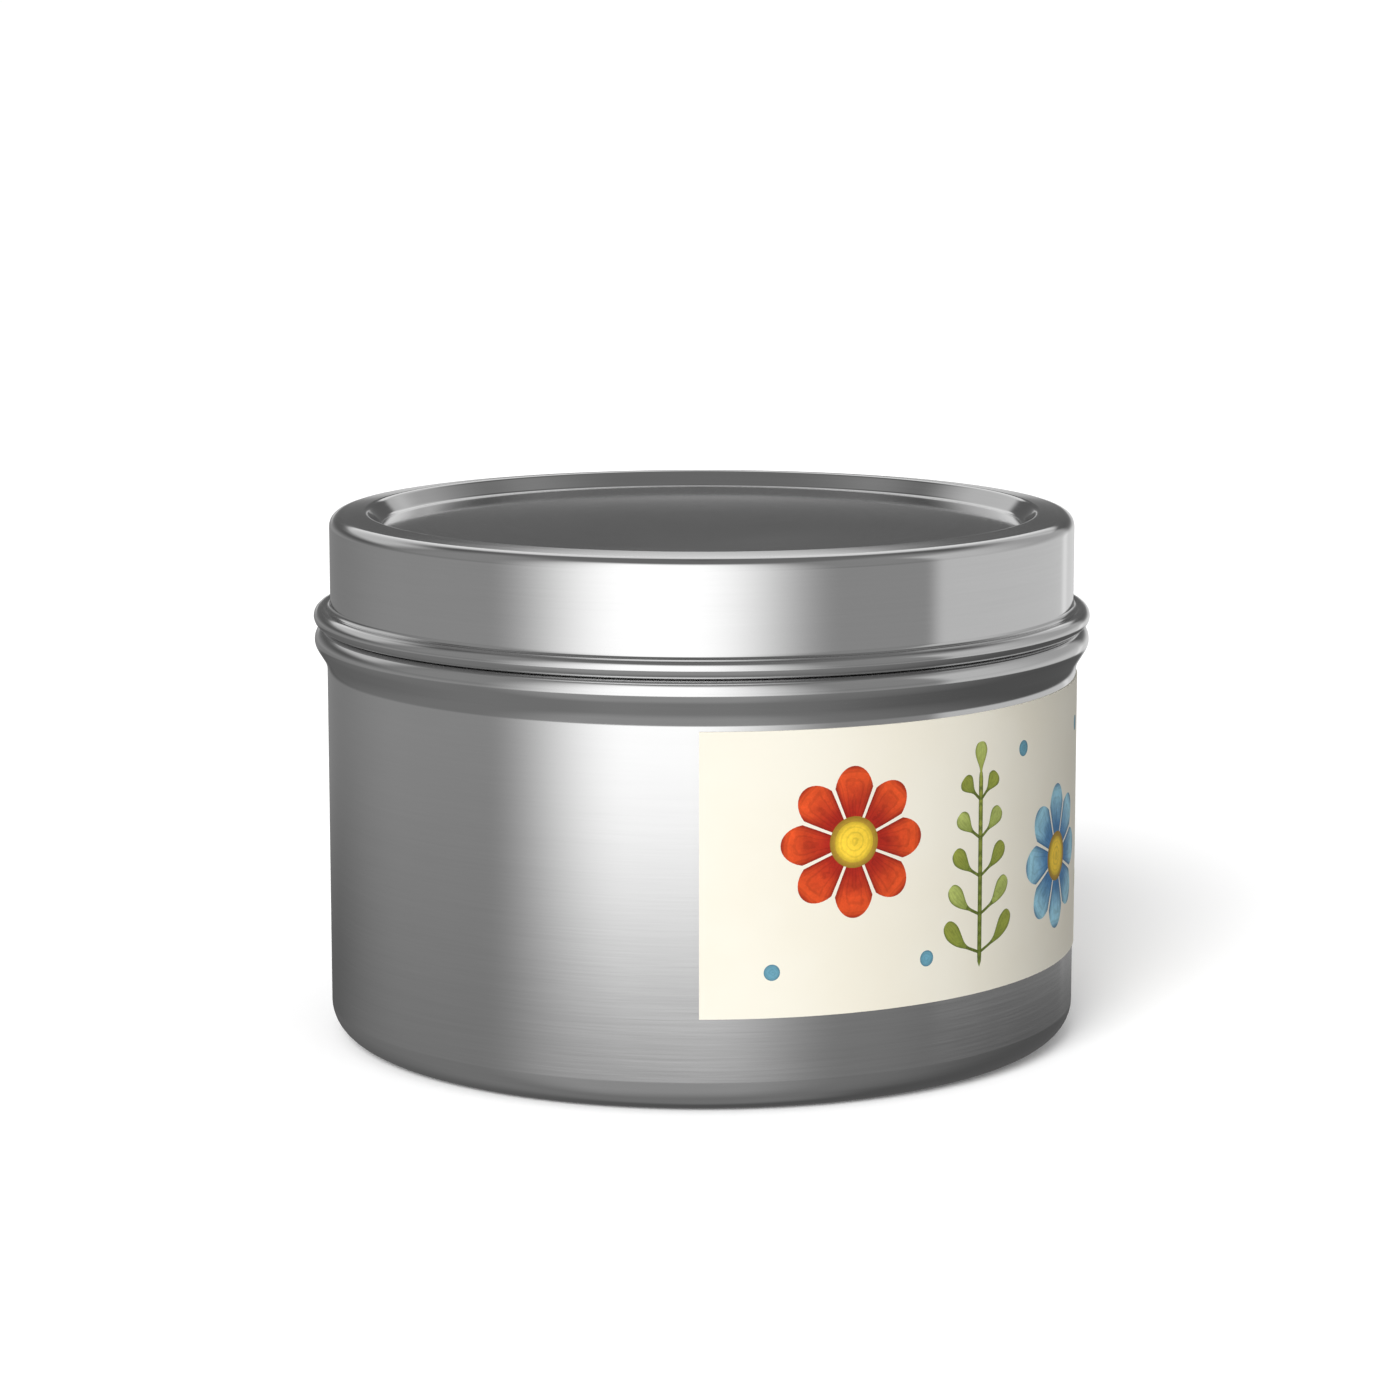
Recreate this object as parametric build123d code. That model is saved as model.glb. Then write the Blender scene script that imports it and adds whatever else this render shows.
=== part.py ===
from build123d import *
import os
from math import atan, atan2, cos, degrees, radians, sin, sqrt, tan

# An 8 fl oz candle in a seamless slip-lid tin. Millimetres, +Z up.
# The origin is on the tin's own axis, on the surface that it stands on; the front is -Y.

# Tinplate
SHEET = 0.22              # thickness of the body's, the lid's and the wick tab's sheet

# Body of the tin
BODY_R = 38.50            # outside of the wall
CORNER_R = 3.24           # outside radius between the wall and the foot
FOOT_INNER_R = 33.20      # inner corner of the foot ring that the tin stands on
BASE_RISE = 0.90          # how far the base panel is pressed up, by a 45 degree step
BASE_STEP_R = 0.60

# Bead that the closed lid sits on
BEAD_Z = 40.94            # height of its widest line
BEAD_CENTRE_R = 38.22
BEAD_R = 1.54
BEAD_FLANK = 31.6         # degrees that its lower flank leans out from the wall
BEAD_ROOT_R = 2.41        # hollow between the wall and that flank

# Neck inside the lid, and its inward-rolled rim
NECK_R = 37.78
RIM_TOP = 53.20
RIM_R = 0.80
RIM_SWEEP = 305           # degrees of roll, which leaves the raw edge just clear of the neck

# Slip lid
LID_R = 38.14             # outside of the skirt
LID_EDGE = 53.64          # height at which the slope of the lip would meet the skirt
LID_CORNER_R = 1.27
LIP_SLOPE = 5             # degrees that the lip falls outwards
PANEL_R = 32.70           # edge of the recessed panel
PANEL_Z = 52.41
PANEL_CROWN = 1.00        # rise of the panel from its edge to its middle
RECESS_SLOPE = 50         # degrees of the recess wall
RECESS_BEND_R = 0.60
HEM_CENTRE_R = 38.91      # middle of the hem's round section
HEM_Z = 43.33
HEM_R = 0.92
HEM_ROOT_R = 0.45         # hollow between the skirt and the hem
HEM_END = 145             # degrees round the section, from +X, where the raw edge stops

# Printed paper label, half-way round the wall from the front through +X
LABEL_LOW = 9.49
LABEL_HIGH = 37.32
LABEL_START = -90.4       # degrees from +X
LABEL_SPAN = 180.0
LABEL_THICK = 0.12
GLUE = 0.02               # adhesive film under the label

# Wick, the tab that holds it up, and the tab's adhesive dot
TAB_R = 10.0
TAB_NECK = 6.0            # height of the crimped neck above the dot
TAB_BEND_R = 0.50
DOT_THICK = 0.60
WICK_R = 1.10
CORE_R = 0.42
WICK_ABOVE_WAX = 6.35     # trimmed to a quarter of an inch
FIT = 0.03                # slack between neighbouring round pieces

# Wax
WAX_TOP = 38.20
WAX_SHRINK = 0.05         # gap that cooling leaves at the wall
MENISCUS = 0.90           # climb of the wax up the wall and round the wick
MENISCUS_EDGE = 0.15      # thickness of that climb at its top

floor_z = BASE_RISE + SHEET                 # inside face of the base panel
tab_z = floor_z + DOT_THICK                 # underside of the wick tab
bore_r = WICK_R + FIT                       # inside of the tab's neck
neck_r = bore_r + SHEET                     # outside of the tab's neck
wick_tip = WAX_TOP + WICK_ABOVE_WAX


def turned(section):
    """Solid of revolution about +Z from a section drawn as (radius, height)."""
    return revolve(Plane.XZ * section, Axis.Z)


def beside(edge, gap):
    """The line or arc that runs parallel to an edge, to the left of it by the gap."""
    start, middle, end = [edge @ t + (edge % t).rotate(Axis.Z, 90) * gap for t in (0, 0.5, 1)]
    if edge.geom_type == GeomType.LINE:
        return Line(start, end)
    return ThreePointArc(start, middle, end)


def turned_sheet(outline, gap):
    """Sheet metal turned about +Z: it lies between an open outline and its parallel, left by the gap."""
    near = outline.wire().order_edges()
    far = [beside(edge, gap) for edge in near]
    ends = [Line(near[0] @ 0, far[0] @ 0), Line(near[-1] @ 1, far[-1] @ 1)]
    return turned(make_face(Wire([*near, *far, *ends])))


def ring(inner, outer, low, high):
    """Plain washer or tube."""
    width = outer - inner
    return turned(Pos(inner + width / 2, (low + high) / 2) * Rectangle(width, high - low))


def tin_body():
    """Seamless drawn can: recessed base, foot ring, wall, bead, neck and rolled rim."""
    flank = radians(BEAD_FLANK)
    bead_low = (BEAD_CENTRE_R + BEAD_R * cos(flank), BEAD_Z - BEAD_R * sin(flank))
    wall_top = bead_low[1] - (bead_low[0] - BODY_R) / tan(flank)
    shoulder_r = BEAD_CENTRE_R - NECK_R
    wall = FilletPolyline(
        (0, BASE_RISE), (FOOT_INNER_R - BASE_RISE, BASE_RISE), (FOOT_INNER_R, 0), (BODY_R, 0),
        (BODY_R, wall_top), bead_low,
        radius=[BASE_STEP_R, BASE_STEP_R, CORNER_R, BEAD_ROOT_R])
    bead = CenterArc((BEAD_CENTRE_R, BEAD_Z), BEAD_R, -BEAD_FLANK, 90 + BEAD_FLANK)
    shoulder = JernArc(bead @ 1, (-1, 0), shoulder_r, -90)
    neck = Line(shoulder @ 1, (NECK_R, RIM_TOP - RIM_R))
    rim = JernArc(neck @ 1, (0, 1), RIM_R, RIM_SWEEP)
    return turned_sheet(wall + bead + shoulder + neck + rim, SHEET)


def lid():
    """Drawn slip lid: domed panel in a shallow recess, sloping lip, skirt, and a hem rolled out and under."""
    dome_angle = 2 * atan(PANEL_CROWN / PANEL_R)
    dome = JernArc((0, PANEL_Z + PANEL_CROWN), (1, 0), PANEL_R / sin(dome_angle), -degrees(dome_angle))
    foot = JernArc(dome @ 1, dome % 1, RECESS_BEND_R, degrees(dome_angle) + RECESS_SLOPE)
    rise, fall = tan(radians(RECESS_SLOPE)), tan(radians(LIP_SLOPE))
    lip_r = (LID_EDGE + LID_R * fall - (foot @ 1).Y + (foot @ 1).X * rise) / (rise + fall)
    root_z = HEM_Z + sqrt((HEM_R + HEM_ROOT_R) ** 2 - (HEM_CENTRE_R - LID_R - HEM_ROOT_R) ** 2)
    root_turn = degrees(atan2(root_z - HEM_Z, LID_R + HEM_ROOT_R - HEM_CENTRE_R))
    skirt = FilletPolyline(
        foot @ 1, (lip_r, LID_EDGE + (LID_R - lip_r) * fall), (LID_R, LID_EDGE), (LID_R, root_z),
        radius=[RECESS_BEND_R, LID_CORNER_R])
    root = JernArc(skirt @ 1, (0, -1), HEM_ROOT_R, root_turn)
    hem = JernArc(root @ 1, root % 1, HEM_R, HEM_END - 360 - root_turn)
    return turned_sheet(dome + foot + skirt + root + hem, -SHEET)


def side_label():
    """Sheet of paper bent round the wall, with square corners."""
    inner = BODY_R + GLUE
    outer = inner + LABEL_THICK
    section = Pos((inner + outer) / 2, (LABEL_LOW + LABEL_HIGH) / 2) * Rectangle(
        LABEL_THICK, LABEL_HIGH - LABEL_LOW)
    return Rot(Z=LABEL_START) * revolve(Plane.XZ * section, Axis.Z, LABEL_SPAN)


def wick_sticker():
    """Double-sided adhesive dot that holds the wick tab to the base."""
    return turned(Pos(TAB_R / 2, floor_z + DOT_THICK / 2) * Rectangle(TAB_R, DOT_THICK))


def wick_sustainer():
    """Pressed tab with a tall neck crimped round the wick."""
    outline = FilletPolyline(
        (bore_r, tab_z + TAB_NECK), (bore_r, tab_z), (TAB_R, tab_z), radius=TAB_BEND_R)
    return turned_sheet(outline, SHEET)


def wick_braid():
    """Braided cotton sleeve, from the dot up to the trimmed tip."""
    return ring(CORE_R + FIT, WICK_R, tab_z, wick_tip)


def wick_core():
    """Twisted paper core that keeps the wick upright in molten wax."""
    return turned(Pos(CORE_R / 2, (tab_z + wick_tip) / 2) * Rectangle(CORE_R, wick_tip - tab_z))


def wax_fill():
    """Poured wax: it fills the base, closes over the wick tab and climbs a little at its edges."""
    wall_r = BODY_R - SHEET - WAX_SHRINK
    low = SHEET + WAX_SHRINK
    step_sum = FOOT_INNER_R + low * sqrt(2)     # radius plus height, all along the step
    dot_r = TAB_R + FIT
    tab_top = tab_z + SHEET + FIT
    neck_top = tab_z + TAB_NECK
    under = FilletPolyline(
        (dot_r, floor_z), (step_sum - floor_z, floor_z), (step_sum - low, low), (wall_r, low),
        (wall_r, WAX_TOP + MENISCUS),
        radius=[BASE_STEP_R, BASE_STEP_R, CORNER_R - SHEET])
    outer_ledge = Line(under @ 1, (wall_r - MENISCUS_EDGE, WAX_TOP + MENISCUS))
    outer_climb = JernArc(outer_ledge @ 1, (0, -1), MENISCUS, -90)
    inner_ledge_r = bore_r + MENISCUS_EDGE
    surface = Line(outer_climb @ 1, (inner_ledge_r + MENISCUS / 2, WAX_TOP))
    inner_climb = JernArc(surface @ 1, (-1, 0), MENISCUS / 2, -90)
    wick_side = Polyline(
        inner_climb @ 1, (bore_r, WAX_TOP + MENISCUS / 2), (bore_r, neck_top),
        (neck_r + FIT, neck_top), (neck_r + FIT, tab_top + TAB_BEND_R),
        (neck_r + FIT + TAB_BEND_R, tab_top), (dot_r, tab_top), (dot_r, floor_z))
    outline = under + outer_ledge + outer_climb + surface + inner_climb + wick_side
    return turned(make_face(outline.wire()))


PIECES = {
    "tin_body": tin_body,
    "lid": lid,
    "side_label": side_label,
    "wax_fill": wax_fill,
    "wick_braid": wick_braid,
    "wick_core": wick_core,
    "wick_sustainer": wick_sustainer,
    "wick_sticker": wick_sticker,
}

os.makedirs("parts", exist_ok=True)
for name, make in PIECES.items():
    export_step(make(), f"parts/{name}.step")
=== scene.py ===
from math import atan2, cos, dist, hypot, pi, radians, sin, sqrt
import bpy
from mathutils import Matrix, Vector, noise
from mathutils.geometry import delaunay_2d_cdt


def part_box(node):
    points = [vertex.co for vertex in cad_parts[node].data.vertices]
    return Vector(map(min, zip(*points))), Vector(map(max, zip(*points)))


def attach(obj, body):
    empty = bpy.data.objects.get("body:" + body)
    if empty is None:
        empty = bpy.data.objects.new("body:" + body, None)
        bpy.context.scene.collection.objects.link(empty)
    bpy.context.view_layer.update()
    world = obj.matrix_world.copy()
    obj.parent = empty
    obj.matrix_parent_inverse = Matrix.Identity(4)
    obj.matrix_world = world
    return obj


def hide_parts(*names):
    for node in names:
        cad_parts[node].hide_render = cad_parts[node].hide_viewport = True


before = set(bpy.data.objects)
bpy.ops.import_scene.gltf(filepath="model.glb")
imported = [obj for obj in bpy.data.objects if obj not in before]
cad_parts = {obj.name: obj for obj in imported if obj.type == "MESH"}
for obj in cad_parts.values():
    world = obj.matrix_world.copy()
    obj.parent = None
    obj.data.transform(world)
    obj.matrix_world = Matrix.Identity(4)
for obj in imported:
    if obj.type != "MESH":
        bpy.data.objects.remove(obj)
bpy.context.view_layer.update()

MM = 0.001
FOCAL_LENGTH = 108.9            # millimetres
SENSOR = 36.0                   # millimetres across
CAMERA_AT = (-0.18 * MM, -432.0 * MM, 106.08 * MM)
CAMERA_PITCH = 9.4785           # degrees below the horizon


# ---------------------------------------------------------------- node helpers

class Nodes:
    """Short calls that add nodes to one tree. Sockets may be given numbers, colours or other sockets."""

    def __init__(self, tree):
        self.tree = tree
        tree.nodes.clear()

    def add(self, kind, inputs=(), **settings):
        node = self.tree.nodes.new(kind)
        for name, value in settings.items():
            setattr(node, name, value)
        for socket, value in dict(inputs).items():
            self.put(node.inputs[socket], value)
        return node

    def put(self, socket, value):
        if isinstance(value, bpy.types.NodeSocket):
            self.tree.links.new(value, socket)
        elif value is not None:
            socket.default_value = value

    def math(self, operation, a, b=None, c=None):
        return self.add("ShaderNodeMath", {0: a, 1: b, 2: c}, operation=operation).outputs[0]

    def ramp(self, value, low, high, at_low=0.0, at_high=1.0):
        """Smooth step from one value to another as the input goes from low to high."""
        sockets = {0: value, 1: low, 2: high, 3: at_low, 4: at_high}
        return self.add("ShaderNodeMapRange", sockets, interpolation_type="SMOOTHSTEP").outputs[0]

    def noise(self, vector, scale, detail=2.0, roughness=0.5):
        sockets = {"Vector": vector, "Scale": scale, "Detail": detail, "Roughness": roughness}
        return self.add("ShaderNodeTexNoise", sockets).outputs[0]

    def mix(self, factor, a, b, blend="MIX"):
        node = self.add("ShaderNodeMix", data_type="RGBA", blend_type=blend)
        for socket, value in ((0, factor), (6, a), (7, b)):
            self.put(node.inputs[socket], value)
        return node.outputs[2]


def material(name):
    made = bpy.data.materials.new(name)
    made.use_nodes = True
    return made, Nodes(made.node_tree)


def finish_material(n, sockets, bump=None):
    """One principled shader with these sockets, and a bump of (height, strength, distance) if given."""
    if bump:
        height, strength, distance = bump
        sockets["Normal"] = n.add("ShaderNodeBump", {
            "Height": height, "Strength": strength, "Distance": distance}).outputs[0]
    shader = n.add("ShaderNodeBsdfPrincipled", sockets)
    output = n.add("ShaderNodeOutputMaterial")
    n.tree.links.new(shader.outputs[0], output.inputs[0])


def stand_in(mesh, made, body, node):
    """The object for a finished mesh, which rides its body and stands for a CAD node."""
    mesh.materials.append(made)
    piece = bpy.data.objects.new(mesh.name, mesh)
    bpy.context.scene.collection.objects.link(piece)
    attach(piece, body)
    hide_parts(node)


# ---------------------------------------------------------------- studio

BACKDROP = 1.04                 # brightness behind the tin, which the camera sees as plain white
FLOOR_REACH = 40.0              # metres from the tin to the floor's sides

def studio_world():
    """A soft procedural studio: broad panels of light given by azimuth from the front and elevation."""
    world = bpy.data.worlds.new("studio")
    world.use_nodes = True
    bpy.context.scene.world = world
    n = Nodes(world.node_tree)
    way = n.add("ShaderNodeSeparateXYZ", {0: n.add("ShaderNodeTexCoord").outputs["Generated"]})
    azimuth = n.math("ARCTAN2", way.outputs[0], n.math("MULTIPLY", way.outputs[1], -1.0))
    elevation = n.math("ARCSINE", way.outputs[2])

    def panel(centre, half, low, high, edge, low_edge, high_edge, strength):
        """Light within a half width of a centre and from low to high, with an own fade at each edge."""
        away = n.math("ABSOLUTE", n.math("WRAP", n.math("SUBTRACT", azimuth, radians(centre)), pi, -pi))
        side = n.ramp(away, radians(half - edge), radians(half + edge), 1.0, 0.0)
        bottom = n.ramp(elevation, radians(low - low_edge), radians(low + low_edge))
        top = n.ramp(elevation, radians(high - high_edge), radians(high + high_edge), 1.0, 0.0)
        return n.math("MULTIPLY", n.math("MULTIPLY", side, strength), n.math("MULTIPLY", bottom, top))

    # The lit table below the horizon, and the dimmer room above it
    table = n.ramp(elevation, radians(-16), radians(-9), 0.24, 0.36)
    total = n.math("MULTIPLY", table, n.ramp(elevation, radians(-6), radians(9), 1.0, 0.35))
    for centre, half, low, high, edge, low_edge, high_edge, strength in (
            (-12.5, 32, -12.9, 56, 24, 2.6, 10, 1.3),   # front softbox
            (0, 180, 58, 120, 20, 12, 10, 0.08),        # ceiling
            (0, 112, 4, 60, 20, 8, 10, 0.2),            # walls at the front and sides
            (-14, 42, -62, -13, 19, 20, 3, 0.15),       # glow of the softbox on the table
            (-132, 18, 16, 40, 12, 6, 8, 0.55),         # key, high on the left
            (113, 38, -12.3, 40, 4, 1.5, 10, 0.36),     # right reflector
            (160, 12, -12.3, -1, 4, 1.5, 5, 0.4),       # low far end of the right reflector
            (150, 70, -70, -12, 45, 10, 2, -0.13),      # shade on the table behind
            (-158, 30, -13.5, -4, 25, 2.5, 3, -0.11),   # shade at the left, just below the horizon
            (180, 14, -1, 2.9, 8, 1, 0.9, 0.4),         # pale horizon behind
            (180, 27, 17, 57, 15, 1.5, 6, 0.85)):       # overhead panel behind
        total = n.math("ADD", total, panel(centre, half, low, high, edge, low_edge, high_edge, strength))
    seen = n.add("ShaderNodeLightPath").outputs["Is Camera Ray"]
    total = n.ramp(seen, 0.0, 1.0, total, BACKDROP)
    background = n.add("ShaderNodeBackground", {"Color": (1, 1, 1, 1), "Strength": total})
    output = n.add("ShaderNodeOutputWorld")
    n.tree.links.new(background.outputs[0], output.inputs[0])
    world.cycles_visibility.diffuse = False


def sun(name, azimuth, elevation, softness, strength):
    """A soft source for matt surfaces, placed in degrees; the metal sees the studio's panels instead."""
    data = bpy.data.lights.new(name, "SUN")
    data.energy = strength
    data.angle = radians(softness)
    light = bpy.data.objects.new(name, data)
    light.rotation_euler = (radians(90 - elevation), 0, radians(azimuth))
    light.visible_glossy = False
    bpy.context.scene.collection.objects.link(light)


def floor():
    """A plain pale table top, large enough to run out of the picture on every side."""
    mesh = bpy.data.meshes.new("floor")
    corners = [(x * FLOOR_REACH, y * FLOOR_REACH, 0) for x, y in ((-1, -1), (1, -1), (1, 1), (-1, 1))]
    mesh.from_pydata(corners, [], [(0, 1, 2, 3)])
    ground = bpy.data.objects.new("floor", mesh)
    bpy.context.scene.collection.objects.link(ground)
    made, n = material("pale_floor")
    finish_material(n, {"Base Color": (0.97, 0.97, 0.97, 1), "Roughness": 0.9, "Specular IOR Level": 0.0})
    mesh.materials.append(made)
    ground.visible_glossy = False
    ground.visible_diffuse = False


def camera():
    data = bpy.data.cameras.new("camera")
    data.lens = FOCAL_LENGTH
    data.sensor_width = SENSOR
    data.clip_end = 200.0
    eye = bpy.data.objects.new("camera", data)
    eye.location = CAMERA_AT
    eye.rotation_euler = (radians(90 - CAMERA_PITCH), 0, 0)
    bpy.context.scene.collection.objects.link(eye)
    bpy.context.scene.camera = eye


# ---------------------------------------------------------------- metal

def tinplate(name, tone, roughness):
    """Tinplate brushed round the axis: fine streaks follow the turning direction on every face."""
    made, n = material(name)
    place = n.add("ShaderNodeSeparateXYZ", {0: n.add("ShaderNodeTexCoord").outputs["Object"]})
    x, y, z = place.outputs
    radius = n.math("SQRT", n.math("ADD", n.math("MULTIPLY", x, x), n.math("MULTIPLY", y, y)))

    def streaks(along, across, detail):
        """Noise with its scale along the brushing and across it, both per metre."""
        vector = n.add("ShaderNodeCombineXYZ", {
            0: n.math("MULTIPLY", x, along), 1: n.math("MULTIPLY", y, along),
            2: n.math("MULTIPLY", z, across)}).outputs[0]
        w = n.math("MULTIPLY", radius, across)
        return n.add("ShaderNodeTexNoise", {
            "Vector": vector, "W": w, "Scale": 1.0, "Detail": detail, "Roughness": 0.6},
            noise_dimensions="4D").outputs[0]

    def varied(level, *parts):
        """A level that noises shift to either side, each given with the whole range of its shift."""
        total = level - sum(span for _, span in parts) / 2
        for source, span in parts:
            total = n.math("MULTIPLY_ADD", source, span, total)
        return total

    fine = streaks(along=90.0, across=4200.0, detail=3.0)
    broad = streaks(along=45.0, across=700.0, detail=2.0)
    clouds = n.noise(n.add("ShaderNodeTexCoord").outputs["Object"], 60.0, 3.0)
    value = varied(tone, (fine, 0.05), (broad, 0.03), (clouds, 0.05))
    rough = varied(roughness, (fine, 0.10), (clouds, 0.05))
    colour = n.add("ShaderNodeCombineColor", {0: value, 1: value, 2: value}).outputs[0]
    tangent = n.add("ShaderNodeTangent", direction_type="RADIAL", axis="Z").outputs[0]
    finish_material(n, {
        "Base Color": colour, "Metallic": 1.0, "Roughness": rough, "Anisotropic": 0.2,
        "Anisotropic Rotation": 0.25, "Tangent": tangent}, bump=(fine, 0.03, 0.02 * MM))
    return made


# ---------------------------------------------------------------- turned sheet metal

AROUND = 300                    # facets round a turned piece
TURNS = [(cos(2 * pi * i / AROUND), sin(2 * pi * i / AROUND)) for i in range(AROUND)]
SHARP = cos(radians(40))        # sections that turn more than this keep a crisp edge
DIGITS = 5                      # CAD points that agree to these decimals of a metre are one


def section_of(node):
    """A turned node's outline as (radius, height) points in order, read from its CAD mesh.

    A solid piece's outline starts and ends on the axis; a bored piece's is a closed loop.
    """
    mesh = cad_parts[node].data
    keys = [(round(hypot(v.co.x, v.co.y), DIGITS), round(v.co.z, DIGITS)) for v in mesh.vertices]
    links = {key: set() for key in keys}
    for edge in mesh.edges:
        a, b = (keys[i] for i in edge.vertices)
        links[a].add(b)
        links[b].add(a)
    here = min(links, key=lambda key: (key[0], -key[1]))
    left, outline = set(links), []
    while here:
        outline.append(here)
        left.remove(here)
        here = min(links[here] & left, key=lambda key: dist(key, here), default=None)
    if outline[0][0] > 0.0 and outline[0] not in links[outline[-1]]:
        outline = [(0.0, outline[0][1]), *outline, (0.0, outline[-1][1])]
    return outline


def span_normals(outline):
    """The normals at both ends of every span of a section; spans that meet softly share theirs."""
    spans = []
    for (r0, z0), (r1, z1) in zip(outline, outline[1:]):
        length = hypot(r1 - r0, z1 - z0)
        spans.append((Vector((z0 - z1, r1 - r0)) / length, length))

    def end_normal(span, near):
        own, own_length = spans[span]
        if not 0 <= near < len(spans) or own.dot(spans[near][0]) < SHARP:
            return own
        return (own * own_length + spans[near][0] * spans[near][1]).normalized()

    return [(end_normal(j, j - 1), end_normal(j, j + 1)) for j in range(len(spans))]


def turned_rings(outline):
    """Points all round the axis for each point of a section, and their indices, ring by ring.

    A section's point that lies on the axis is one point, which its ring repeats.
    """
    points, rings = [], []
    for radius, height in outline:
        first = len(points)
        if radius == 0.0:
            points.append((0.0, 0.0, height))
            rings.append([first] * AROUND)
        else:
            points += [(radius * c, radius * s, height) for c, s in TURNS]
            rings.append(list(range(first, first + AROUND)))
    return points, rings


def turned_copy(node, made, body):
    """A finely faceted copy of a turned CAD node, with normals that follow its section exactly."""
    outline = section_of(node)
    points, rings = turned_rings(outline)
    faces, normals = [], []
    for near, far, (start, end) in zip(rings, rings[1:], span_normals(outline)):
        for i in range(AROUND):
            k = (i + 1) % AROUND
            corners = [(near[i], start, i), (far[i], end, i), (far[k], end, k), (near[k], start, k)]
            if near[i] == near[k]:
                corners.pop(3)
            if far[i] == far[k]:
                corners.pop(2)
            faces.append([index for index, _, _ in corners])
            normals += [(n.x * TURNS[t][0], n.x * TURNS[t][1], n.y) for _, n, t in corners]
    mesh = bpy.data.meshes.new(node + "_shell")
    mesh.from_pydata(points, [], faces)
    mesh.polygons.foreach_set("use_smooth", [True] * len(faces))
    mesh.normals_split_custom_set(normals)
    stand_in(mesh, made, body, node)


# ---------------------------------------------------------------- printed label

LABEL_THICK = 0.12              # millimetres, as are all the sizes of the print
LABEL_START = -90.4             # degrees from +X, where the left edge of the label is
RULES = 240                     # facets along the label
LEVELS = 56                     # facets up it, where it is printed
MERGE = 1e-5                    # points of the print that are nearer than this are one
FACING = 0.9                    # faces that lean less than this cosine from the radius are the sheet's sides
label_low, label_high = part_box("side_label")
LABEL_R = label_high[0] / MM
LABEL_WIDE = pi * LABEL_R
LABEL_TALL = (label_high[2] - label_low[2]) / MM

CURVE_STEPS = 12                # points on a stroke between two of its knots
STROKE_START = 0.08             # part of a stroke over which its start rounds out
DISC_SIDES = 28
PETAL_STEPS = 16                # facets along a petal's round edge
PETAL_ROUND = 0.24              # part of its length by which its corners fall short
PETAL_NECK = 0.88               # its spread at the flower's centre, as a part of that further out

PETALS = 8                      # of a rosette
PETAL_HALF = 20.5               # degrees, half of a petal's spread
ROSETTE_R = 7.4
ROSETTE_LEVELS = (0.6, 0.4)     # heights of the rosettes by turns, as parts of the label's
DOT_LEVELS = (0.16, 0.84)       # heights of the dots beside them
DOT_AWAY = 8.2
DOT_R = 0.8
SPRIG_FOOT = 2.6
SPRIG_TALL = 21.6
LEAF_PAIRS = 5
LEAF_REACH = 4.6                # of the lowest pair
LEAF_SHRINK = 0.55              # how much shorter each next pair is


def ink(red, green, blue):
    """Display colour, 0 to 255, as a linear one."""
    return tuple((c / 255 + 0.055) ** 2.4 / 1.055 ** 2.4 for c in (red, green, blue))


CRIMSON, POPPY, CORAL = ink(168, 36, 22), ink(220, 80, 34), ink(226, 98, 84)
OCHRE, GOLD, YELLOW = ink(186, 148, 50), ink(233, 160, 44), ink(246, 208, 62)
MOSS, OLIVE, LEAF = ink(116, 132, 54), ink(146, 154, 66), ink(176, 188, 104)
BLUE, TEAL, SKY = ink(66, 122, 172), ink(104, 158, 178), ink(156, 206, 224)
ROSETTE_INKS = (CRIMSON, POPPY), (BLUE, SKY), (OCHRE, GOLD), (CRIMSON, CORAL)


def smooth(low, high, x):
    """Smooth step from 0 to 1 as x goes from low to high."""
    t = min(max((x - low) / (high - low), 0.0), 1.0)
    return t * t * (3 - 2 * t)


class Stroke:
    """A brush mark along a smooth line: a narrow neck that may swell to a round end."""

    def __init__(self, route, width, near, far, neck=1.0, swell=(0.3, 0.8), cap=0.9):
        self.colours = near, far
        self.width, self.neck, self.swell, self.cap = width, neck, swell, cap
        knots = [Vector(p) for p in (route[0], *route, route[-1])]
        self.line = []
        for a, b, c, d in zip(knots, knots[1:], knots[2:], knots[3:]):
            for i in range(CURVE_STEPS):
                t = i / CURVE_STEPS
                self.line.append(0.5 * (2 * b + (c - a) * t + (2 * a - 5 * b + 4 * c - d) * t * t
                                        + (3 * b - a - 3 * c + d) * t ** 3))
        self.line.append(knots[-1])

    def half(self, t):
        """Half of the mark's width at a part of its length, rounded off at both ends."""
        start = min(t / STROKE_START, 1.0)
        end = max(t - self.cap, 0.0) / (1 - self.cap)
        swollen = self.width * (self.neck + (1 - self.neck) * smooth(*self.swell, t))
        return swollen * sqrt(start * (2 - start) * max(1 - end * end, 0.0))

    def outline(self):
        count = len(self.line) - 1
        left, right = [], []
        steps = [i / count for i in range(count)] + [1 - (1 - self.cap) * 0.5 ** k / 3 for k in range(4)]
        for t in sorted(set(steps)):
            i = min(int(t * count), count - 1)
            along = (self.line[i + 1] - self.line[i]).normalized()
            middle = self.line[i].lerp(self.line[i + 1], t * count - i)
            side = Vector((-along.y, along.x)) * max(self.half(t), 0.01)
            left.append(middle + side)
            right.append(middle - side)
        return right + [self.line[-1]] + left[::-1]

    def place(self, point):
        """How far along the mark a point is, and how far out from its line, both 0 to 1."""
        i = min(range(len(self.line)), key=lambda k: (self.line[k] - point).length_squared)
        t = i / (len(self.line) - 1)
        return t, min((self.line[i] - point).length / max(self.half(t), 0.05), 1.0)


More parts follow.
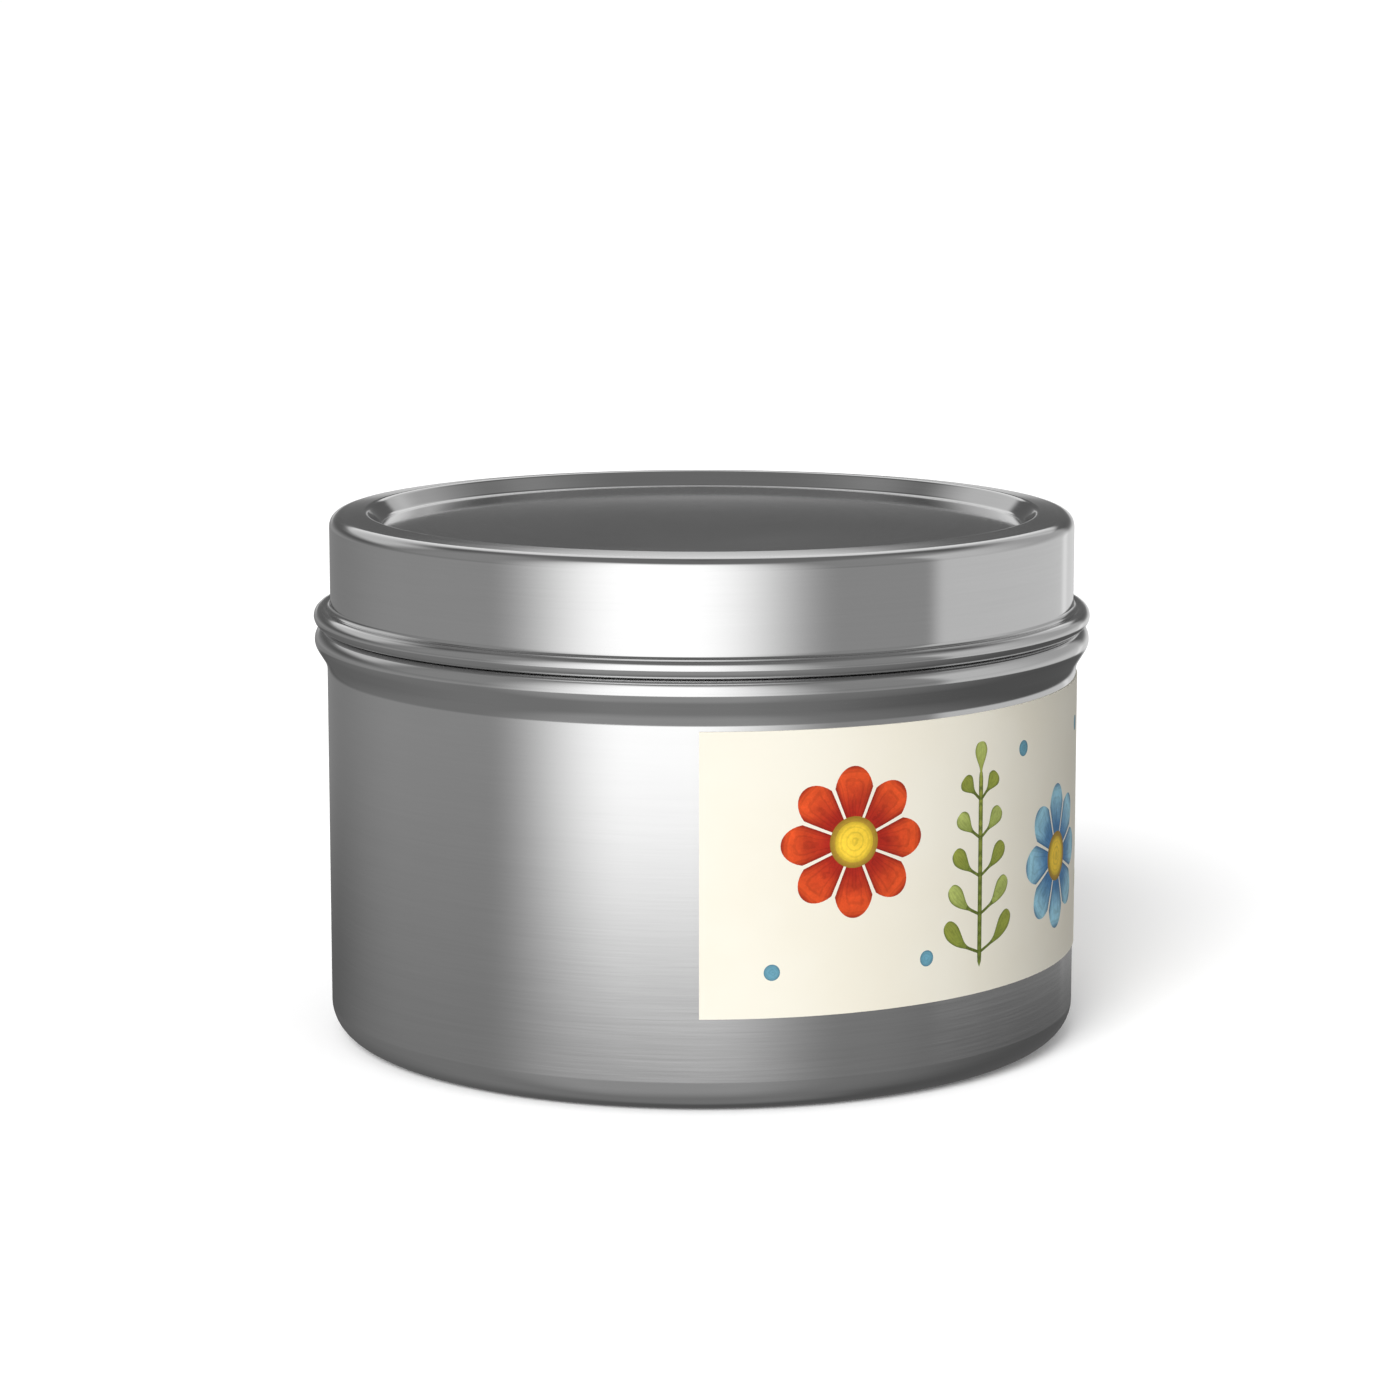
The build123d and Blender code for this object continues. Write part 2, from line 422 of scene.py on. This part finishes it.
class Fan:
    """A petal that widens from a point to a round edge; a full turn makes a disc."""

    def __init__(self, centre, bearing, half, radius, near, far):
        self.colours = near, far
        self.centre, self.bearing, self.spread = Vector(centre), radians(bearing), radians(half)
        self.radius = radius

    def spoke(self, angle, radius):
        bearing = self.bearing + angle
        return self.centre + Vector((cos(bearing), sin(bearing))) * radius

    def flare(self, part):
        """The petal's half spread at a part of its length, a little less near the flower's centre."""
        return self.spread * (PETAL_NECK + (1 - PETAL_NECK) * smooth(0.0, 0.6, part))

    def outline(self):
        if self.spread >= pi:
            return [self.spoke(2 * pi * i / DISC_SIDES, self.radius) for i in range(DISC_SIDES)]
        sides = [0.08, 0.2, 0.35, 0.5, 0.65]
        right = [self.spoke(-self.flare(part), part * self.radius) for part in sides]
        left = [self.spoke(self.flare(part), part * self.radius) for part in sides]
        edge = []
        for i in range(PETAL_STEPS + 1):
            across = 2 * i / PETAL_STEPS - 1
            edge.append(self.spoke(self.spread * across, self.radius * (1 - PETAL_ROUND * across * across)))
        return right + edge + left[::-1]

    def place(self, point):
        """How far along the petal a point is, and how near to its edge, both 0 to 1."""
        away = point - self.centre
        part = min(away.length / self.radius, 1.0)
        if self.spread >= pi:
            return part, part
        angle = (atan2(away.y, away.x) - self.bearing + pi) % (2 * pi) - pi
        across = max(abs(angle) / self.flare(part), part ** 4)
        return max(1.35 * part - 0.35, 0.0), min(across, 1.0)


def leaf(route, width, near, far):
    return Stroke(route, width, near, far, neck=0.16, cap=0.7)


def dot(u, v, radius, colour):
    return Fan((u, v), 0, 180, radius, colour, colour)


def rosette(u, v, near, far):
    """Equal round petals about a yellow button."""
    art = [Fan((u, v), 360 / PETALS * i, PETAL_HALF, ROSETTE_R, near, far) for i in range(PETALS)]
    return art + [dot(u, v, ROSETTE_R * 0.34, OCHRE), dot(u, v, ROSETTE_R * 0.27, YELLOW)]


def sprig(u):
    """An upright stem with opposite pairs of leaves that shorten towards its tip."""
    tip = SPRIG_FOOT + SPRIG_TALL
    stem = [(u, SPRIG_FOOT), (u, SPRIG_FOOT + SPRIG_TALL / 2), (u, tip - 2)]
    art = [Stroke(stem, 0.3, MOSS, OLIVE)]
    for j in range(LEAF_PAIRS):
        v = SPRIG_FOOT + SPRIG_TALL * (j + 0.7) / (LEAF_PAIRS + 0.7)
        reach = LEAF_REACH - LEAF_SHRINK * j
        for side in (-1, 1):
            route = [(u, v - 1.2), (u + side * reach * 0.55, v), (u + side * reach, v + reach * 0.5)]
            art.append(leaf(route, 0.95, MOSS, (OLIVE, LEAF)[j % 2]))
    return art + [leaf([(u, tip - 3.4), (u, tip - 1.4), (u, tip + 0.8)], 0.9, OLIVE, LEAF)]


def print_art():
    """Every mark on the label, in painting order: a plain repeat of rosettes, sprigs and dots."""
    art = []
    step = LABEL_WIDE / len(ROSETTE_INKS)
    for i in range(1, len(ROSETTE_INKS)):
        art += sprig(step * i)
    for i, inks in enumerate(ROSETTE_INKS):
        u = step * (i + 0.5)
        art += rosette(u, LABEL_TALL * ROSETTE_LEVELS[i % 2], *inks)
        for side in (-1, 1):
            art.append(dot(u + DOT_AWAY * side, LABEL_TALL * DOT_LEVELS[i % 2], DOT_R, TEAL))
    return art


def facet_print(shapes):
    """The flat label's points, and its triangles with the shape on top of each: -1 is the bare paper.

    The first shape is the paper itself. Upright rules cross it, and points along them fill the marks.
    """
    points, loops, rules = [], [], []
    for shape in shapes:
        loops.append(list(range(len(points), len(points) + len(shape))))
        points += shape
    boxes = [[(min(p[i] for p in shape), max(p[i] for p in shape)) for i in (0, 1)] for shape in shapes[1:]]
    for i in range(1, RULES):
        u = LABEL_WIDE * i / RULES
        rules.append((len(points), len(points) + 1))
        points += [Vector((u, 0)), Vector((u, LABEL_TALL))]
        beside = [v_span for u_span, v_span in boxes if u_span[0] < u < u_span[1]]
        for j in range(1, LEVELS):
            v = LABEL_TALL * j / LEVELS
            if any(low < v < high for low, high in beside):
                points.append(Vector((u, v)))
    flat, _, triangles, _, _, owners = delaunay_2d_cdt(points, rules, loops, 1, MERGE, True)
    return flat, [(tri, max(own) - 1) for tri, own in zip(triangles, owners) if 0 in own]


def wrapped(point, radius):
    """A point of the flat label, bent round the tin at a radius."""
    angle = radians(LABEL_START) + point.x / LABEL_R
    return radius * MM * cos(angle), radius * MM * sin(angle), label_low[2] + point.y * MM


def sheet_faces(triangles, count):
    """Faces of the closed sheet: its front, its back, whose points follow the front's, and its edges."""
    faces = [tuple(tri) for tri in triangles] + [tuple(i + count for i in reversed(tri)) for tri in triangles]
    sides = {}
    for tri in triangles:
        for a, b in zip(tri, (*tri[1:], tri[0])):
            sides[a, b] = True
    return faces + [(b, a, a + count, b + count) for a, b in sides if (b, a) not in sides]


def sheet_normals(mesh):
    """Normals that point straight out or in on the front and back, and square off the edges."""
    normals = []
    for polygon in mesh.polygons:
        side = polygon.normal
        for vertex in polygon.vertices:
            out = mesh.vertices[vertex].co.to_2d().normalized().to_3d()
            facing = side.dot(out)
            normals.append(out * (1 if facing > 0 else -1) if abs(facing) > FACING else side)
    return normals


def print_on(mesh, art, flat, kept):
    """Each corner's inks, and its place on its mark, with a third coordinate of 1 wherever there is ink."""
    near = mesh.color_attributes.new("ink_near", "FLOAT_COLOR", "CORNER")
    far = mesh.color_attributes.new("ink_far", "FLOAT_COLOR", "CORNER")
    brush = mesh.attributes.new("brush", "FLOAT_VECTOR", "CORNER")
    for polygon, (tri, top) in zip(mesh.polygons, kept):
        if top < 0:
            continue
        mark = art[top]
        for loop, vertex in zip(polygon.loop_indices, tri):
            near.data[loop].color = (*mark.colours[0], 1.0)
            far.data[loop].color = (*mark.colours[1], 1.0)
            brush.data[loop].vector = (*mark.place(flat[vertex]), 1.0)


def paper_label(made):
    """The label as one closed sheet of paper whose facets follow the edges of the print."""
    art = print_art()
    paper = [Vector(p) for p in ((0, 0), (LABEL_WIDE, 0), (LABEL_WIDE, LABEL_TALL), (0, LABEL_TALL))]
    flat, kept = facet_print([paper] + [mark.outline() for mark in art])
    front = [wrapped(point, LABEL_R) for point in flat]
    back = [wrapped(point, LABEL_R - LABEL_THICK) for point in flat]
    mesh = bpy.data.meshes.new("paper_label")
    mesh.from_pydata(front + back, [], sheet_faces([tri for tri, _ in kept], len(flat)))
    print_on(mesh, art, flat, kept)
    mesh.polygons.foreach_set("use_smooth", [True] * len(mesh.polygons))
    mesh.normals_split_custom_set(sheet_normals(mesh))
    stand_in(mesh, made, "tin", "side_label")


def printed_paper():
    """Uncoated cream paper; the ink pools at the edges of each mark, as watercolour does."""
    made, n = material("printed_paper")
    where = n.add("ShaderNodeTexCoord").outputs["Object"]
    near = n.add("ShaderNodeAttribute", attribute_name="ink_near").outputs["Color"]
    far = n.add("ShaderNodeAttribute", attribute_name="ink_far").outputs["Color"]
    along, across, inked = n.add("ShaderNodeSeparateXYZ", {
        0: n.add("ShaderNodeAttribute", attribute_name="brush").outputs["Vector"]}).outputs
    wash = n.noise(where, 420.0, 4.0, 0.6)
    grain = n.noise(where, 2600.0, 3.0, 0.7)
    blend = n.ramp(n.math("MULTIPLY_ADD", wash, 0.5, n.math("SUBTRACT", along, 0.25)), 0.12, 0.9)
    paint = n.mix(blend, near, far)
    pooled = n.ramp(n.math("MULTIPLY_ADD", wash, 0.3, across), 0.82, 1.16)
    paint = n.mix(n.math("MULTIPLY", pooled, 0.65), paint, near)
    veins = n.math("SINE", n.math("MULTIPLY_ADD", across, 22.0, n.math("MULTIPLY", wash, 9.0)))
    tone = n.math("MULTIPLY", n.ramp(pooled, 0.0, 1.0, 1.05, 0.72), n.ramp(veins, 0.2, 1.0, 1.0, 0.84))
    tone = n.math("MULTIPLY", tone, n.ramp(wash, 0.3, 0.7, 0.9, 1.1))
    tone = n.math("MULTIPLY", tone, n.ramp(grain, 0.3, 0.7, 0.93, 1.07))
    level = n.add("ShaderNodeCombineColor", {0: tone, 1: tone, 2: tone}).outputs[0]
    paint = n.mix(1.0, paint, level, "MULTIPLY")
    mottle = n.ramp(n.noise(where, 90.0, 3.0), 0.3, 0.7)
    paper = n.mix(mottle, (0.895, 0.848, 0.72, 1), (0.915, 0.877, 0.76, 1))
    colour = n.mix(inked, paper, paint)
    finish_material(n, {
        "Base Color": colour, "Roughness": 0.55, "Specular IOR Level": 0.3}, bump=(grain, 0.12, 0.02 * MM))
    return made


# ---------------------------------------------------------------- candle

WAX_AROUND = 160                # facets round the wax
WAX_SPAN = 0.9 * MM             # longest span of its section
WAX_DEPTH = 1.2 * MM            # how far below its highest edge the level top can be
WAX_FLAT = 10 * MM, 30 * MM     # radii between which the CAD's top is level
WAX_SURFACE = 0.3 * MM          # points this far below the level still belong to the top
WALL_FADE = 37.6 * MM, 34 * MM  # radii over which the unevenness grows from the wall
WICK_FADE = 1.3 * MM, 4 * MM    # and from the wick
SAG = 0.14                      # millimetres, between the wick and the wall

STRANDS = 4                     # of the wick's sleeve, turning each way
STRAND_R = 0.235 * MM
STRAND_DEEP = 0.8 * STRAND_R    # half of a flattened strand's depth
STRAND_WIDE = 1.75 * STRAND_R   # and of its width
STRAND_STEPS = 150
STRAND_SIDES = 8
WEAVE = 0.07 * MM               # how far a strand moves in and out
BRAID_PITCH = 5.2 * MM
CORE_TWIST = 1.1 * MM           # height between one line of the paper core's twist and the next


def add_piece(name, points, faces, made, node, smooth_angle):
    """A new mesh piece of the tin that stands for a CAD node."""
    mesh = bpy.data.meshes.new(name)
    mesh.from_pydata(points, [], faces)
    mesh.polygons.foreach_set("use_smooth", [True] * len(faces))
    mesh.set_sharp_from_angle(angle=radians(smooth_angle))
    stand_in(mesh, made, "tin", node)


def wax_section():
    """The wax's CAD section as a closed loop of short spans."""
    section = section_of("wax_fill")
    outline = []
    for start, end in zip(section, section[1:] + section[:1]):
        parts = max(int(dist(start, end) / WAX_SPAN), 1)
        outline += [tuple(Vector(start).lerp(Vector(end), i / parts)) for i in range(parts)]
    return outline


def wax_lift(x, y, radius):
    """How far the set wax lies above its level: it sags and swells between the wick and the wall."""
    fade = smooth(*WALL_FADE, radius) * smooth(*WICK_FADE, radius)
    # Waves across the top, by their number per metre, and their height in millimetres
    broad = noise.noise((x * 90, y * 90, 0.3)) * 0.16
    fine = noise.noise((x * 330, y * 330, 4.0)) * 0.05
    return (broad + fine - SAG) * fade * MM


def poured_wax(made):
    """The wax as it sets: its own CAD section, with a faintly uneven top."""
    outline = wax_section()
    top = max(z for r, z in outline)
    level = min(z for r, z in outline if z > top - WAX_DEPTH and WAX_FLAT[0] < r < WAX_FLAT[1])
    points, faces = [], []
    for radius, height in outline:
        for i in range(WAX_AROUND):
            turn = 2 * pi * i / WAX_AROUND
            x, y = radius * cos(turn), radius * sin(turn)
            lift = wax_lift(x, y, radius) if height > level - WAX_SURFACE else 0.0
            points.append((x, y, height + lift))
    count = len(outline)
    for j in range(count):
        near, far = j * WAX_AROUND, (j + 1) % count * WAX_AROUND
        for i in range(WAX_AROUND):
            k = (i + 1) % WAX_AROUND
            faces.append((near + i, far + i, far + k, near + k))
    add_piece("poured_wax", points, faces, made, "wax_fill", smooth_angle=50)


def strand_line(way, strand, centre_r, bottom, top):
    """Middle line of a strand that winds one way, over and under those that wind the other."""
    line = []
    for i in range(STRAND_STEPS + 1):
        z = bottom + (top - bottom) * i / STRAND_STEPS
        turn = way * 2 * pi * (z - bottom) / BRAID_PITCH + 2 * pi * strand / STRANDS
        crossing = 2 * STRANDS * (z - bottom) / BRAID_PITCH + strand
        radius = centre_r + way * WEAVE * cos(pi * crossing)
        line.append(Vector((radius * cos(turn), radius * sin(turn), z)))
    return line


def strand_points(line, bottom, top):
    """Flattened rings of points along a strand's line, cut level at the bottom and the top."""
    points = []
    for i, here in enumerate(line):
        ahead = (line[min(i + 1, STRAND_STEPS)] - line[max(i - 1, 0)]).normalized()
        out = Vector((here.x, here.y, 0)).normalized()
        side = ahead.cross(out).normalized()
        out = side.cross(ahead)
        for k in range(STRAND_SIDES):
            turn = 2 * pi * k / STRAND_SIDES
            p = here + out * STRAND_DEEP * cos(turn) + side * STRAND_WIDE * sin(turn)
            points.append((p.x, p.y, min(max(p.z, bottom), top)))
    return points


def strand_faces(first):
    """Faces of a closed strand whose points begin at an index."""
    faces = []
    for i in range(STRAND_STEPS):
        near = first + i * STRAND_SIDES
        far = near + STRAND_SIDES
        for k in range(STRAND_SIDES):
            m = (k + 1) % STRAND_SIDES
            faces.append((near + k, near + m, far + m, far + k))
    last = first + STRAND_STEPS * STRAND_SIDES
    faces.append([first + k for k in reversed(range(STRAND_SIDES))])
    faces.append([last + k for k in range(STRAND_SIDES)])
    return faces


def braided_wick(made):
    """Flattened strands that pass over and under each other, up to the cut tip."""
    low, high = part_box("wick_braid")
    centre_r = high[0] - STRAND_R - WEAVE
    points, faces = [], []
    for way in (1, -1):
        for strand in range(STRANDS):
            line = strand_line(way, strand, centre_r, low[2], high[2])
            faces += strand_faces(len(points))
            points += strand_points(line, low[2], high[2])
    add_piece("braided_wick", points, faces, made, "wick_braid", smooth_angle=60)


def soy_wax():
    """Creamy wax with cloudy patches and a fine frost."""
    made, n = material("soy_wax")
    where = n.add("ShaderNodeTexCoord").outputs["Object"]
    cloud = n.ramp(n.noise(where, 70.0, 4.0), 0.3, 0.7)
    frost = n.ramp(n.noise(where, 900.0, 5.0, 0.7), 0.45, 0.75)
    pale = n.mix(cloud, (0.86, 0.80, 0.66, 1), (0.90, 0.855, 0.73, 1))
    colour = n.mix(n.math("MULTIPLY", frost, 0.35), pale, (0.95, 0.93, 0.87, 1))
    rough = n.ramp(frost, 0.0, 1.0, 0.34, 0.6)
    finish_material(n, {
        "Base Color": colour, "Roughness": rough, "Specular IOR Level": 0.45, "Subsurface Weight": 0.35,
        "Subsurface Radius": (1.0, 0.72, 0.45), "Subsurface Scale": 2.5 * MM}, bump=(frost, 0.08, 0.05 * MM))
    return made


def cotton_braid():
    """Waxed cotton yarn: fibres run along each strand, with a few darker ones."""
    made, n = material("waxed_cotton")
    where = n.add("ShaderNodeTexCoord").outputs["Object"]
    fibres = n.noise(where, 9000.0, 3.0, 0.7)
    patches = n.ramp(n.noise(where, 900.0, 2.0), 0.35, 0.65)
    colour = n.mix(n.ramp(fibres, 0.3, 0.7), (0.70, 0.65, 0.53, 1), (0.88, 0.85, 0.76, 1))
    colour = n.mix(n.math("MULTIPLY", patches, 0.3), colour, (0.84, 0.78, 0.62, 1))
    finish_material(n, {
        "Base Color": colour, "Roughness": 0.8, "Specular IOR Level": 0.25, "Sheen Weight": 0.25},
        bump=(fibres, 0.5, 0.04 * MM))
    return made


def core_paper():
    """Brown kraft paper twisted into a cord: the seams of its turns make fine slanted lines, sunk by the bump
    and darkened as painted shade in their grooves.
    """
    made, n = material("twisted_paper")
    x, y, z = n.add("ShaderNodeSeparateXYZ", {0: n.add("ShaderNodeTexCoord").outputs["Object"]}).outputs
    turn = n.math("ARCTAN2", y, x)
    twist = n.math("SINE", n.math("MULTIPLY_ADD", z, 2 * pi / CORE_TWIST, n.math("MULTIPLY", turn, 2.0)))
    fibres = n.noise(n.add("ShaderNodeTexCoord").outputs["Object"], 6000.0, 3.0)
    seam_groove_and_shade = n.math("MULTIPLY", n.ramp(twist, -1.0, -0.4), n.ramp(fibres, 0.2, 0.8, 0.75, 1.0))
    # Painted shade: the grooves between the turns get the darker brown
    colour = n.mix(seam_groove_and_shade, (0.36, 0.25, 0.14, 1), (0.66, 0.52, 0.34, 1))
    finish_material(n, {"Base Color": colour, "Roughness": 0.85}, bump=(seam_groove_and_shade, 0.4, 0.03 * MM))
    return made


def adhesive_foam():
    """White closed-cell foam tape; the pits of its cells are greyer, painted shade in the hollows."""
    made, n = material("adhesive_foam")
    where = n.add("ShaderNodeTexCoord").outputs["Object"]
    cell_pits_and_shade = n.add("ShaderNodeTexVoronoi", {"Vector": where, "Scale": 5200.0}).outputs["Distance"]
    # Painted shade: the cell pits are greyer than the cell walls
    colour = n.mix(n.ramp(cell_pits_and_shade, 0.1, 0.7), (0.74, 0.74, 0.71, 1), (0.88, 0.88, 0.86, 1))
    finish_material(n, {"Base Color": colour, "Roughness": 0.75}, bump=(cell_pits_and_shade, 0.4, 0.05 * MM))
    return made


def dress(node, made):
    """Give a CAD node, which stays as it is, its material."""
    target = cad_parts[node]
    for slot in target.material_slots:
        slot.material = made


studio_world()
floor()
camera()
sun("key", azimuth=-20, elevation=32, softness=30, strength=2.9)
sun("fill", azimuth=55, elevation=12, softness=60, strength=0.4)
sun("dome", azimuth=0, elevation=90, softness=170, strength=2.25)
bpy.context.scene.view_settings.view_transform = "Standard"

metal = tinplate("brushed_tinplate", tone=0.63, roughness=0.10)
turned_copy("tin_body", metal, "tin")
turned_copy("lid", metal, "lid")
dress("wick_sustainer", metal)
dress("wick_core", core_paper())
dress("wick_sticker", adhesive_foam())
paper_label(printed_paper())
poured_wax(soy_wax())
braided_wick(cotton_braid())
